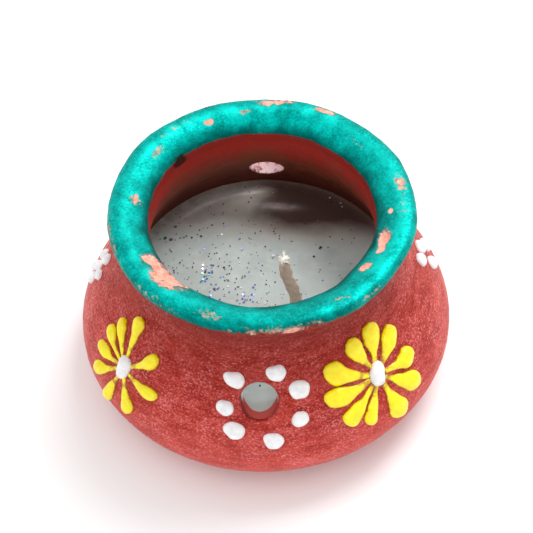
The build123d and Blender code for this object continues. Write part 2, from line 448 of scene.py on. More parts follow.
def roll_in(bm, layer, ring, start, out, fillet, inwards, extra):
    """Rolls a rim over into the bore and returns the last ring of vertices."""
    base = np.array([np.array(v.co) / MM for v in ring])
    along, side = off_axis(base, start, out)
    side /= np.linalg.norm(side, axis=1)[:, None]
    # painted light in the bore: full at the back, less at the front
    pale = 1.0 if start[1] > 0 else FRONT_BORE_LIGHT
    steps = [
        (fillet * (1 - math.cos(t)), WINDOW_R + fillet * (1 - math.sin(t)))
        for t in np.radians([30, 60, 90])
    ]
    steps += [(fillet + extra, WINDOW_R)]
    last = ring
    for deep, wide in steps:
        here = start + out * (along + inwards * deep)[:, None] + side * wide
        new = []
        for k, p in enumerate(here):
            v = bm.verts.new(Vector(p) * MM)
            v[layer["bore"]] = min(1.0, deep / fillet) * pale
            v[layer["teal"]], v[layer["chip"]] = NOT_TEAL, NOT_CHIPPED
            v[layer["inner"]] = last[k][layer["inner"]]
            new.append(v)
        for k in range(len(new)):
            j = (k + 1) % len(new)
            bm.faces.new((last[k], last[j], new[j], new[k]))
        last = new
    return last


def build_pot():
    """The whole pot as one closed mesh, with its windows bored through."""
    az = np.arange(COLUMNS) * 360 / COLUMNS - 180
    az_grid, s_grid = (g.ravel().copy() for g in np.meshgrid(az, ROWS))
    index = np.arange(len(az_grid)).reshape(len(ROWS), COLUMNS)
    rims, keep = window_rims(az_grid, s_grid, surf(az_grid, s_grid))
    quads = np.stack(
        [index[:-1], np.roll(index, -1, 1)[:-1], np.roll(index, -1, 1)[1:], index[1:]], -1
    ).reshape(-1, 4)
    quads = quads[keep[quads].all(1)]
    loops = snap_rims(az_grid, s_grid, quads, np.r_[index[0], index[-1]], rims)
    base = surf(az_grid, s_grid)
    chip, depth = chip_field(az_grid, s_grid, base)
    height = uneven_skin(az_grid, s_grid, base, rims, chip, depth)
    points = surf(az_grid, s_grid, height)
    guides = paint_guides(az_grid, s_grid, base, chip)

    bm = bmesh.new()
    layer = {k: bm.verts.layers.float.new(k) for k in (*guides, "bore")}
    verts = [None] * len(points)
    for i in np.unique(quads):
        v = verts[i] = bm.verts.new(Vector(points[i]) * MM)
        for key, values in guides.items():
            v[layer[key]] = values[i]
    for q in quads:
        bm.faces.new([verts[k] for k in q])
    for row, inside in ((index[0], False), (index[-1], True)):
        middle = bm.verts.new(sum((verts[k].co for k in row), Vector()) / COLUMNS)
        middle[layer["inner"]] = FAR_INSIDE if inside else -FAR_INSIDE
        middle[layer["teal"]] = NOT_TEAL
        for k in range(COLUMNS):
            a, b = verts[row[k]], verts[row[(k + 1) % COLUMNS]]
            bm.faces.new((a, b, middle) if inside else (b, a, middle))
    smooth_near(bm, {verts[k] for mine, *_ in loops for k in np.unique(mine)})
    for outer, inner in zip(loops[::2], loops[1::2]):
        bridge = []
        for (mine, start, out), fillet, inwards, extra in (
            (outer, OUTER_FILLET, -1.0, 0.5), (inner, INNER_FILLET, 1.0, 0.2)
        ):
            ring = [verts[i] for i in in_order(mine)]
            ring = roll_in(bm, layer, ring, start, out, fillet, inwards, extra)
            bridge += [bm.edges.get((v, ring[i - 1])) for i, v in enumerate(ring)]
        bmesh.ops.bridge_loops(bm, edges=bridge)
    bmesh.ops.recalc_face_normals(bm, faces=bm.faces)
    mesh = bpy.data.meshes.new("glazed_pot")
    bm.to_mesh(mesh)
    bm.free()
    mesh.polygons.foreach_set("use_smooth", [True] * len(mesh.polygons))
    pot = bpy.data.objects.new("painted_pot", mesh)
    bpy.context.scene.collection.objects.link(pot)
    return pot


# ---------------------------------------------------------------- raised liner paint
def to_skin(points):
    """Azimuth and place along the outside of points near the shoulder, in millimetres."""
    points = np.atleast_2d(points)
    az = np.degrees(np.arctan2(points[:, 0], -points[:, 1]))
    r = np.hypot(points[:, 0], points[:, 1])
    side = np.flatnonzero((PS < S_LIP_OUT) & (PS > BASE_R))[::4]
    gap = np.hypot(r[:, None] - PR[side], points[:, 2][:, None] - PZ[side])
    return az, PS[side][gap.argmin(1)]


def from_spot(centre_az, centre_s, u, v):
    """Azimuth and place of a point u sideways and v up the slope from a centre."""
    s = centre_s + v
    r = np.interp(s, PS, PR)
    return centre_az + np.degrees(u / r), s


def in_spot(centre_az, centre_s, az, s):
    """How far sideways and up the slope a point lies from a centre."""
    return np.radians(wrap(az - centre_az)) * np.interp(s, PS, PR), s - centre_s


def cad_points(name):
    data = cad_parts[name].data
    flat = np.empty(len(data.vertices) * 3)
    data.vertices.foreach_get("co", flat)
    return flat.reshape(-1, 3) / MM


def islands(name):
    """Middle of each separate solid of a CAD node."""
    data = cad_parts[name].data
    bm = bmesh.new()
    bm.from_mesh(data)
    bmesh.ops.remove_doubles(bm, verts=bm.verts, dist=1e-7)
    seen = set()
    middles = []
    for v in bm.verts:
        if v.index in seen:
            continue
        stack, mine = [v], []
        seen.add(v.index)
        while stack:
            w = stack.pop()
            mine.append(w.co.copy())
            for e in w.link_edges:
                x = e.other_vert(w)
                if x.index not in seen:
                    seen.add(x.index)
                    stack.append(x)
        low = [min(c[i] for c in mine) for i in range(3)]
        high = [max(c[i] for c in mine) for i in range(3)]
        middles.append((np.array(low) + np.array(high)) / 2 / MM)
    bm.free()
    return middles


def blob(centre_az, centre_s, outline, height, peak=(0.0, 0.0), power=0.5, rough=0.05, seed=1):
    """Dried bead of paint: points and faces of a dome over an outline of (u, v) points."""
    outline = np.asarray(outline, float)
    n = len(outline)
    shells = (1.0, 0.985, 0.95, 0.89, 0.8, 0.68, 0.54, 0.38, 0.2)
    peak = np.asarray(peak, float)
    rings = []
    az, s = from_spot(centre_az, centre_s, *(outline.T))
    rings.append(surf(az, s, -0.35))
    for k in shells:
        uv = peak + (outline - peak) * k
        az, s = from_spot(centre_az, centre_s, *(uv.T))
        lift = height * (1 - k ** (1 / power)) ** power
        base = surf(az, s)
        bumps = rough * height * field(base, 0.8, seed, 2) * (1 - k)
        rings.append(surf(az, s, lift - 0.05 + bumps))
    az, s = from_spot(centre_az, centre_s, *peak[:, None])
    top = surf(az, s, height - 0.05)
    under = surf(az, s, -0.35)
    points = np.vstack([*rings, top, under])
    faces = ring_faces(len(rings), n)
    last = (len(rings) - 1) * n
    for i in range(n):
        faces.append((last + i, last + (i + 1) % n, len(points) - 2))
        faces.append(((i + 1) % n, i, len(points) - 1))
    return points, faces


def smooth_outline(polar, count=40, seed=0, rough=0.04):
    """Closed outline from a radius for each angle, with slight hand wobble."""
    t = np.linspace(0, 2 * math.pi, count, endpoint=False)
    r = np.array([polar(x) for x in t])
    r *= 1 + rough * np.sin(3 * t + seed) + 0.6 * rough * np.sin(5 * t + 2.1 * seed)
    return np.stack([r * np.sin(t), r * np.cos(t)], -1)


def petal_blob(centre_az, centre_s, turn, start, reach, tip_r, height, seed):
    """One petal as a ribbed grid along its length: thick at the tip, thin towards the centre."""
    length_steps, across = 26, 13
    t = np.linspace(0, 1, length_steps)
    body = reach - start
    far = 1 - tip_r / body
    neck_r = 0.22 * tip_r + 0.14
    swell = smoothstep(0.02, far, t)
    width = neck_r + (tip_r - neck_r) * swell ** 1.5
    cap = np.sqrt(np.clip(1 - ((t - far) / (1 - far)) ** 2, 0, 1))
    width = np.where(t > far, tip_r * cap, width)
    width = width * np.sqrt(np.clip(t / 0.05, 0, 1))
    width = width * (1 + 0.07 * np.sin(8 * t + seed) + 0.05 * np.sin(15 * t + 1.7 * seed))
    tall = height * (0.42 + 0.58 * smoothstep(0.1, far, t)) * np.sqrt(np.clip(width / tip_r, 0, 1))
    tall *= 1 + 0.12 * np.sin(11 * t + 2 * seed) * (1 - swell)
    bend = 0.35 * math.sin(1.9 * seed) * np.sin(math.pi * t)
    lean = np.linspace(-1, 1, across)
    u = bend[:, None] + width[:, None] * lean
    v = np.repeat((start + body * t)[:, None], across, 1)
    dome = tall[:, None] * np.sqrt(np.clip(1 - lean**2, 0, 1))[None, :] ** 0.9
    c, k = math.cos(math.radians(turn)), math.sin(math.radians(turn))
    az, s = from_spot(centre_az, centre_s, u * c + v * k, -u * k + v * c)
    base = surf(az, s)
    dome = dome * (1 + 0.10 * field(base, 0.9, seed % 13 + 20, 2))
    top = surf(az, s, dome - 0.06).reshape(-1, 3)
    low = surf(az, s, -0.35).reshape(-1, 3)
    n = length_steps * across
    faces = []
    for i in range(length_steps - 1):
        for j in range(across - 1):
            a = i * across + j
            faces.append((a, a + 1, a + 1 + across, a + across))
            faces.append((n + a, n + a + across, n + a + 1 + across, n + a + 1))
        for j in (0, across - 1):
            a, b = i * across + j, (i + 1) * across + j
            faces.append((a, b, n + b, n + a) if j == 0 else (a, n + a, n + b, b))
    for i in (0, length_steps - 1):
        for j in range(across - 1):
            a = i * across + j
            faces.append((a, n + a, n + a + 1, a + 1) if i == 0 else (a, a + 1, n + a + 1, n + a))
    thick = np.clip(np.r_[dome.ravel(), np.zeros(n)] / height, 0, 1)
    return np.vstack([top, low]), faces, thick


def dot_blob(centre_az, centre_s, u0, v0, size, seed, height=1.05):
    """White dot with the little tail that the bottle pulls up and to the left."""
    tail = math.radians(-70 + 22 * math.sin(seed))
    stretch = 0.20 + 0.14 * math.sin(2.3 * seed)

    def polar(t):
        towards = math.cos(t - tail)
        return size * (1 + stretch * max(0.0, towards) ** 6) * (0.93 + 0.12 * abs(math.sin(t)))

    outline = smooth_outline(polar, 36, seed, 0.035) + np.array([u0, v0])
    peak = np.array([u0 + 0.25, v0 - 0.15])
    return blob(centre_az, centre_s, outline, height, peak, 0.5, 0.10, seed % 11 + 40)


# ---------------------------------------------------------------- materials
class Nodes:
    """One material, with short ways of adding and joining its shader nodes."""

    def __init__(self, name):
        self.material = bpy.data.materials.new(name)
        self.material.use_nodes = True
        self.tree = self.material.node_tree
        self.shader = self.tree.nodes["Principled BSDF"]
        self.coord = self.add("TexCoord").outputs["Object"]

    def set(self, **inputs):
        """Puts values or links in the shader's inputs by name."""
        for name, value in inputs.items():
            self.put(self.shader.inputs[name.replace("_", " ")], value)

    def put(self, socket, value):
        if isinstance(value, bpy.types.NodeSocket):
            self.tree.links.new(value, socket)
        else:
            socket.default_value = value

    def add(self, kind, **inputs):
        """New node of a kind, with values or links put in its inputs by name."""
        node = self.tree.nodes.new("ShaderNode" + kind)
        for name, value in inputs.items():
            self.put(node.inputs[name.replace("_", " ")], value)
        return node

    def height_mm(self):
        node = self.add("SeparateXYZ", Vector=self.coord)
        return self.math("DIVIDE", node.outputs["Z"], MM)

    def noise(self, size_mm, detail=4.0, rough=0.55, warp=0.0, stretch=None, output="Fac"):
        where = self.coord
        if stretch is not None:
            where = self.add("Mapping", Vector=where, Scale=stretch).outputs["Vector"]
        node = self.add("TexNoise", Vector=where, Scale=1 / (size_mm * MM), Detail=detail)
        self.put(node.inputs["Roughness"], rough)
        self.put(node.inputs["Distortion"], warp)
        return node.outputs[output]

    def cells(self, size_mm):
        node = self.add("TexVoronoi", Vector=self.coord, Scale=1 / (size_mm * MM))
        return node.outputs["Color"]

    def ramp(self, value, low, high, to_low=0.0, to_high=1.0):
        node = self.add("MapRange", Value=value, From_Min=low, From_Max=high)
        node.clamp = True
        self.put(node.inputs["To Min"], to_low)
        self.put(node.inputs["To Max"], to_high)
        return node.outputs["Result"]

    def math(self, kind, a, b=0.0):
        node = self.add("Math")
        node.operation = kind
        self.put(node.inputs[0], a)
        self.put(node.inputs[1], b)
        return node.outputs[0]

    def mix(self, factor, a, b):
        node = self.add("Mix")
        node.data_type = "RGBA"
        self.put(node.inputs[0], factor)
        self.put(node.inputs[6], a)
        self.put(node.inputs[7], b)
        return node.outputs[2]

    def over(self, under, top, value, low, high, most=1.0):
        """One colour laid over another as a value goes from low to high."""
        return self.mix(self.ramp(value, low, high, 0.0, most), under, top)

    def mix_value(self, factor, a, b):
        node = self.add("Mix")
        self.put(node.inputs[0], factor)
        self.put(node.inputs[2], a)
        self.put(node.inputs[3], b)
        return node.outputs[0]

    def ragged(self, value, texture, amount):
        """A value moved up or down by up to an amount, following a texture."""
        return self.math("ADD", value, self.ramp(texture, 0.3, 0.7, -amount, amount))

    def attribute(self, name):
        node = self.add("Attribute")
        node.attribute_name = name
        return node.outputs["Fac"]

    def bump(self, height, strength, distance_mm, normal=None):
        node = self.add("Bump", Height=height, Strength=strength, Distance=distance_mm * MM)
        if normal is not None:
            self.put(node.inputs["Normal"], normal)
        return node.outputs["Normal"]


def rgb(r, g, b):
    """Linear colour from 0 to 255 screen values."""
    out = []
    for c in (r, g, b):
        c /= 255
        out.append(c / 12.92 if c <= 0.04045 else ((c + 0.055) / 1.055) ** 2.4)
    return (*out, 1.0)


def red_coat(n, grain, streak):
    """Blotchy red, brushed round the pot, with pale mica glints, painted shade under the lip and painted
    light on the lower belly.
    """
    blotch = n.noise(7.0, 5.0, 0.6)
    red = n.over(rgb(160, 34, 26), rgb(190, 60, 50), blotch, 0.36, 0.66)
    red = n.over(red, rgb(214, 94, 88), streak, 0.42, 0.72, 0.65)
    red = n.over(red, rgb(136, 26, 20), streak, 0.47, 0.28, 0.75)
    red = n.over(red, rgb(250, 166, 166), grain, 0.53, 0.68, 0.7)
    red = n.over(red, rgb(100, 12, 10), grain, 0.48, 0.36, 0.7)
    orange = n.noise(11.0, 3.0, 0.5, 0.6)
    red = n.over(red, rgb(190, 56, 36), orange, 0.55, 0.72, 0.45)
    up = n.ragged(n.height_mm(), blotch, 3.0)
    # painted shade: darker red up under the lip, where the lip shades the neck
    red = n.over(red, rgb(108, 22, 14), up, 22.0, 35.0, 0.74)
    # painted light: the lower belly painted paler, as if lit from the floor below
    return n.over(red, rgb(240, 112, 106), up, 20.0, 8.0, 0.32)


def inside_coat(n, grain, inner):
    """Thinner red inside the wall, browner towards the wax, with painted shade darkest just above it."""
    uneven = n.math("MULTIPLY", n.math("SUBTRACT", n.noise(6.0, 4.0, 0.6, 0.4), 0.5), 14.0)
    deep = n.math("ADD", inner, uneven)
    inside = n.over(rgb(168, 40, 34), rgb(136, 72, 48), deep, 3.0, 11.0)
    # painted shade: darkest low on the inner wall, deep inside the pot
    inside = n.over(inside, rgb(88, 36, 26), deep, 11.0, 19.0)
    return n.over(inside, rgb(160, 74, 62), grain, 0.45, 0.7, 0.3)


def teal_coat(n, grain):
    """Brushed metallic teal with darker hollows, painted shade along both edges of the lip and a painted
    highlight on its crest.
    """
    blotch = n.noise(4.0, 5.0, 0.6)
    teal = n.over(rgb(0, 134, 126), rgb(2, 176, 167), blotch, 0.35, 0.68)
    teal = n.over(teal, rgb(12, 216, 202), grain, 0.50, 0.70, 0.7)
    teal = n.over(teal, rgb(0, 92, 86), grain, 0.46, 0.30, 0.7)
    rim = n.ragged(n.attribute("teal"), blotch, 1.1)
    # painted shade: darker teal near both edges of the coat, where the rounded lip turns from the light
    teal = n.mix(n.ramp(rim, 0.3, 3.2, 0.85, 0.0), teal, rgb(0, 84, 80))
    # painted highlight along the lip's crest
    painted_crest_highlight = n.math("ABSOLUTE", n.math("SUBTRACT", rim, 6.0))
    return n.over(teal, rgb(20, 226, 210), painted_crest_highlight, 1.6, 0.2, 0.35)


def pot_material():
    n = Nodes("metallic_paint_on_clay")
    streak = n.noise(1.0, 4.0, 0.6, 0.3, (0.16, 0.16, 1.0))
    patchy = n.ramp(n.noise(5.0, 3.0, 0.5, 0.5), 0.35, 0.65, -0.035, 0.035)
    grain = n.math("ADD", n.noise(0.30, 4.0, 0.8, 0.2, (0.6, 0.6, 1.0)), patchy)
    inner = n.attribute("inner")
    red = n.over(red_coat(n, grain, streak), inside_coat(n, grain, inner), inner, -0.5, 1.0)
    # the teal coat's edge is ragged outside and neater inside
    unevenness = n.ramp(inner, -6.0, -3.0, 2.6, 0.9)
    edge = n.math("MULTIPLY", n.math("SUBTRACT", n.noise(2.4, 4.0, 0.6), 0.5), unevenness)
    line = n.ramp(n.math("ADD", n.attribute("teal"), edge), -0.12, 0.12)
    paint = n.mix(line, red, teal_coat(n, grain))
    # rubbed zones: cream dust showing through in specks
    scuff = n.attribute("scuff")
    speck = n.math("ADD", n.noise(0.9, 5.0, 0.72), n.math("MULTIPLY", scuff, 0.42))
    speck = n.math("SUBTRACT", speck, n.math("MULTIPLY", n.ramp(scuff, 0.0, 0.12, 1.0, 0.0), 0.5))
    rubbed = n.ramp(speck, 0.70, 0.86)
    dust = n.over(rgb(168, 112, 92), rgb(214, 184, 158), n.noise(1.6, 3.0), 0.35, 0.65)
    paint = n.mix(rubbed, paint, dust)
    # chips: bare salmon clay with a pink rim of primer
    chip = n.math("ADD", n.attribute("chip"), n.ramp(n.noise(0.5, 4.0, 0.7), 0.2, 0.8, -0.16, 0.16))
    bare = n.ramp(chip, -0.02, 0.10)
    primer = n.ramp(chip, -0.22, -0.04)
    clay = n.over(rgb(222, 140, 120), rgb(244, 192, 172), n.noise(1.3, 5.0, 0.7), 0.35, 0.65)
    clay = n.over(clay, rgb(196, 104, 88), n.noise(0.45, 3.0, 0.6), 0.58, 0.75, 0.7)
    pink = n.over(rgb(206, 92, 112), rgb(70, 130, 120), grain, 0.40, 0.62)
    paint = n.mix(n.math("MULTIPLY", primer, 0.75), paint, pink)
    paint = n.mix(bare, paint, clay)
    # bores: paint thins out over pale clay, painted near-white deeper in as light coming through from
    # outside
    bore = n.math("ADD", n.attribute("bore"), n.ramp(n.noise(1.6, 5.0, 0.7), 0.35, 0.65, -0.5, 0.2))
    paint = n.over(paint, rgb(252, 226, 230), bore, 0.55, 0.85, 0.9)
    smear = n.ramp(n.attribute("smear"), 0.0, 0.25)
    paint = n.mix(n.math("MULTIPLY", smear, 0.9), paint, rgb(40, 24, 14))
    n.set(Base_Color=paint)
    worn = n.math("MAXIMUM", bare, rubbed)
    shine = n.mix_value(line, 0.25, 0.45)
    shine = n.mix_value(n.ramp(inner, -0.5, 1.0), shine, 0.10)
    n.set(Metallic=n.mix_value(worn, shine, 0.0))
    rough = n.ramp(grain, 0.3, 0.7, 0.50, 0.36)
    rough = n.mix_value(n.ramp(inner, -0.5, 1.0), rough, 0.55)
    n.set(Roughness=n.mix_value(worn, rough, 0.88))
    n.set(Specular_IOR_Level=0.3)
    n.set(Specular_Tint=n.mix(line, rgb(255, 190, 178), rgb(20, 226, 212)))
    mica = n.cells(0.16)
    height = n.math("ADD", n.math("MULTIPLY", grain, 0.7), n.math("MULTIPLY", streak, 0.6))
    normal = n.bump(height, 0.35, 0.10)
    normal = n.bump(mica, 0.10, 0.05, normal)
    n.set(Normal=n.bump(n.noise(1.1, 5.0, 0.7), 0.35, 0.14, normal))
    return n.material


def liner_material(name, light, dark, thin):
    """Glossy puffed paint: creamy where thick, tinted by what lies under it where thin."""
    n = Nodes(name)
    mottled = n.noise(1.4, 4.0, 0.55)
    colour = n.over(dark, light, mottled, 0.34, 0.70)
    pinholes = n.noise(0.35, 2.0, 0.6)
    colour = n.over(colour, thin, pinholes, 0.30, 0.22, 0.6)
    if name.startswith("yellow"):
        edge = n.ragged(n.attribute("thick"), mottled, 0.16)
        colour = n.over(colour, thin, edge, 0.30, 0.08)
    n.set(Base_Color=colour)
    n.set(Roughness=n.ramp(mottled, 0.3, 0.7, 0.42, 0.27))
    n.set(Subsurface_Weight=0.06)
    n.set(Subsurface_Radius=(0.001, 0.0008, 0.0004))
    n.set(Coat_Weight=0.25)
    n.set(Coat_Roughness=0.2)
    height = n.math("ADD", n.noise(0.8, 3.0, 0.5), n.math("MULTIPLY", pinholes, 0.25))
    n.set(Normal=n.bump(height, 0.25, 0.15))
    return n.material


def wax_material():
    n = Nodes("poured_wax")
    cloud = n.noise(9.0, 5.0, 0.55, 0.4)
    bloom = n.noise(2.2, 5.0, 0.6)
    colour = n.over(rgb(168, 178, 174), rgb(186, 196, 192), cloud, 0.35, 0.65)
    colour = n.over(colour, rgb(198, 208, 205), bloom, 0.5, 0.72, 0.4)
    # painted shadow: the back right of the wax darkened where the pot's back wall shades it
    shade = n.ragged(n.attribute("dark"), cloud, 0.12)
    colour = n.over(colour, rgb(150, 132, 122), shade, 0.05, 0.45, 0.55)
    colour = n.over(colour, rgb(62, 38, 30), shade, 0.40, 0.90, 0.96)
    # rim of the wax darker towards the wall
    edge = n.ragged(n.attribute("edge"), bloom, 0.2)
    colour = n.over(colour, rgb(96, 70, 58), edge, 0.55, 1.0, 0.6)
    # painted reflections: pale arc and streak on the wax where it mirrors the light
    streak = n.math("MULTIPLY", n.attribute("streak"), n.ramp(bloom, 0.3, 0.7, 0.3, 0.8))
    colour = n.mix(streak, colour, rgb(206, 196, 196))
    film = n.ragged(n.attribute("film"), bloom, 0.15)
    colour = n.over(colour, rgb(192, 84, 76), film, 0.4, 0.7)
    n.set(Base_Color=colour)
    n.set(Roughness=n.ramp(bloom, 0.3, 0.7, 0.55, 0.42))
    n.set(Subsurface_Weight=0.15)
    n.set(Subsurface_Radius=(0.002, 0.002, 0.002))
    n.set(Specular_IOR_Level=0.3)
    height = n.math("ADD", n.noise(6.0, 4.0, 0.5), n.math("MULTIPLY", bloom, 0.25))
    n.set(Normal=n.bump(height, 0.25, 0.5))
    return n.material


def wick_material():
    n = Nodes("waxed_cotton")
    fibre = n.noise(0.18, 4.0, 0.65, 0.6, (1.0, 1.0, 0.35))
    soak = n.noise(1.6, 4.0, 0.6)
    colour = n.over(rgb(206, 192, 168), rgb(242, 232, 212), fibre, 0.3, 0.7)
    colour = n.over(colour, rgb(196, 180, 150), soak, 0.5, 0.7, 0.5)
    # whiter tip: pale frayed cotton, with a painted highlight where the cut end catches the light
    colour = n.over(colour, rgb(240, 238, 226), n.attribute("tip"), 0.4, 0.9)
    n.set(Base_Color=colour)
    n.set(Roughness=n.ramp(soak, 0.3, 0.7, 0.75, 0.55))
    weave = n.noise(0.32, 2.0, 0.5, 0.2, (1.0, 1.0, 0.6))
    n.set(Normal=n.bump(n.math("ADD", fibre, weave), 0.6, 0.15))
    return n.material


def tin_material():
    n = Nodes("thin_tinplate")
    brushed = n.noise(0.4, 4.0, 0.6, 0.0, (0.15, 1.0, 1.0))
    stain = n.noise(3.0, 4.0, 0.6)
    colour = n.over(rgb(150, 150, 148), rgb(206, 206, 204), brushed, 0.3, 0.7)
    colour = n.over(colour, rgb(140, 128, 108), stain, 0.55, 0.75, 0.4)
    n.set(Base_Color=colour)
    n.set(Metallic=1.0)
    n.set(Roughness=n.ramp(stain, 0.3, 0.7, 0.28, 0.45))
    n.set(Normal=n.bump(brushed, 0.2, 0.05))
    return n.material


def glitter_material():
    n = Nodes("glitter_film")
    hue = n.attribute("hue")
    ramp = n.add("ValToRGB")
    stops = (
        (0.0, rgb(46, 48, 54)), (0.30, rgb(62, 58, 66)), (0.46, rgb(60, 90, 200)),
        (0.60, rgb(80, 190, 225)), (0.72, rgb(150, 90, 200)), (0.80, rgb(60, 170, 120)),
        (0.90, rgb(240, 240, 240)), (1.0, rgb(230, 200, 140)),
    )
    ramp.color_ramp.interpolation = "CONSTANT"
    while len(ramp.color_ramp.elements) < len(stops):
        ramp.color_ramp.elements.new(0.5)
    for element, (at, colour) in zip(ramp.color_ramp.elements, stops):
        element.position = at
        element.color = colour
    n.put(ramp.inputs["Fac"], hue)
    fine = n.noise(0.2, 3.0, 0.6)
    colour = n.over(ramp.outputs["Color"], rgb(245, 245, 250), fine, 0.4, 0.7, 0.3)
    n.set(Base_Color=colour)
    n.set(Metallic=0.7)
    n.set(Roughness=n.ramp(fine, 0.3, 0.7, 0.18, 0.3))
    n.set(Normal=n.bump(fine, 0.1, 0.02))
    return n.material


def floor_material():
    n = Nodes("pale_floor")
    n.set(Base_Color=rgb(250, 250, 250))
    n.set(Roughness=0.7)
    return n.material


# ---------------------------------------------------------------- pieces
finish_piece(build_pot(), pot_material(), "painted_clay", "clay_pot")

WHITE = liner_material("white_liner", rgb(252, 252, 252), rgb(232, 232, 234), rgb(216, 190, 196))
YELLOW = liner_material("yellow_liner", rgb(253, 242, 4), rgb(246, 220, 6), rgb(170, 104, 22))

def paint_dots(node, azimuth, height, sizes, first_seed):
    """Raised dots of a CAD node. Sizes are a mean, a spread, and a step and start of its wave."""
    mean, spread, step, start = sizes
    centre_s = outer_s(height)
    points, faces = [], []
    for k, middle in enumerate(islands(node)):
        az, s = to_skin(middle)
        u, v = in_spot(azimuth, centre_s, az[0], s[0])
        size = mean + spread * math.sin(step * k + start)
        p, f = dot_blob(azimuth, centre_s, u, v, size, k + first_seed)
        faces += [tuple(i + len(points) for i in face) for face in f]
        points += p.tolist()
    finish_piece(mesh_object(node + "_paint", points, faces), WHITE, "white_liner_paint", node)


for side, (azimuth, height) in WINDOWS.items():
    sizes = (WINDOW_DOT_R, 0.14, 2.1, azimuth)
    paint_dots(f"{side}_window_dots", azimuth, height, sizes, int(azimuth) % 7)
for side, (azimuth, height) in ROSETTES.items():
    paint_dots(f"{side}_dot_rosette", azimuth, height, (ROSETTE_DOT_R[side], 0.12, 3.1, 0.0), 3)

flowers = sorted({n.split("_petal_")[0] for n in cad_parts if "_petal_" in n})
for flower in flowers:
    heart = cad_points(flower + "_centre")
    az, s = to_skin((heart.min(0) + heart.max(0)) / 2)
    centre_az, centre_s = az[0], s[0]
    seed = len(flower)
    lean = 0.9 if "right" in flower else -0.3

    def heart_shape(t):
        return 2.05 + 0.42 * math.cos(2 * t - lean) + 0.18 * math.cos(t)

    outline = smooth_outline(heart_shape, 40, seed, 0.05)
    p, f = blob(centre_az, centre_s, outline, 1.3, (0.15, 0.35), 0.55, 0.10, seed)
    name = flower + "_centre"
    finish_piece(mesh_object(name + "_paint", p, f), WHITE, "white_liner_paint", name)
    for name in sorted(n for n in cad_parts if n.startswith(flower + "_petal_")):
        number = int(name[-2:])
        az, s = to_skin(cad_points(name))
        u, v = in_spot(centre_az, centre_s, az, s)
        far = np.argmax(np.hypot(u, v))
        turn = math.degrees(math.atan2(u.mean(), v.mean()))
        reach = math.hypot(u[far], v[far])
        c, k = math.cos(math.radians(turn)), math.sin(math.radians(turn))
        tip_r = np.ptp(u * c - v * k) / 2
        if "left_flower" in flower and "back" not in flower:
            tip_r *= 0.86
        p, f, thick = petal_blob(
            centre_az, centre_s, turn, 1.6, reach + 0.1, tip_r, 1.15, number * 3 + seed
        )
        petal = mesh_object(name + "_paint", p, f, {"thick": thick})
        finish_piece(petal, YELLOW, "yellow_liner_paint", name)


def shore_points():
    """Where the wax's level meets each low window's bore: azimuths and radii along its edge."""
    shores = []
    for azimuth, height in WINDOWS.values():
        start, out, _, _ = window_axis(azimuth, height)
        side = unit(np.cross([0, 0, 1.0], out))
        up = np.cross(out, side)
        u = np.linspace(-0.999, 0.999, 61) * WINDOW_R
        w = -np.sqrt(WINDOW_R**2 - u * u)
        t = (WAX_TOP - start[2] - up[2] * w) / out[2]
        if t.max() < -4.5:
            continue
        p = start + out * t[:, None] + side * u[:, None] + up * w[:, None]
        turn = wrap(np.degrees(np.arctan2(p[:, 0], -p[:, 1])) - azimuth)
        order = np.argsort(turn)
        shores.append((azimuth, turn[order], np.hypot(p[:, 0], p[:, 1])[order]))
    return shores


WAX_COLUMNS = 400
WAX_DISH = 0.12


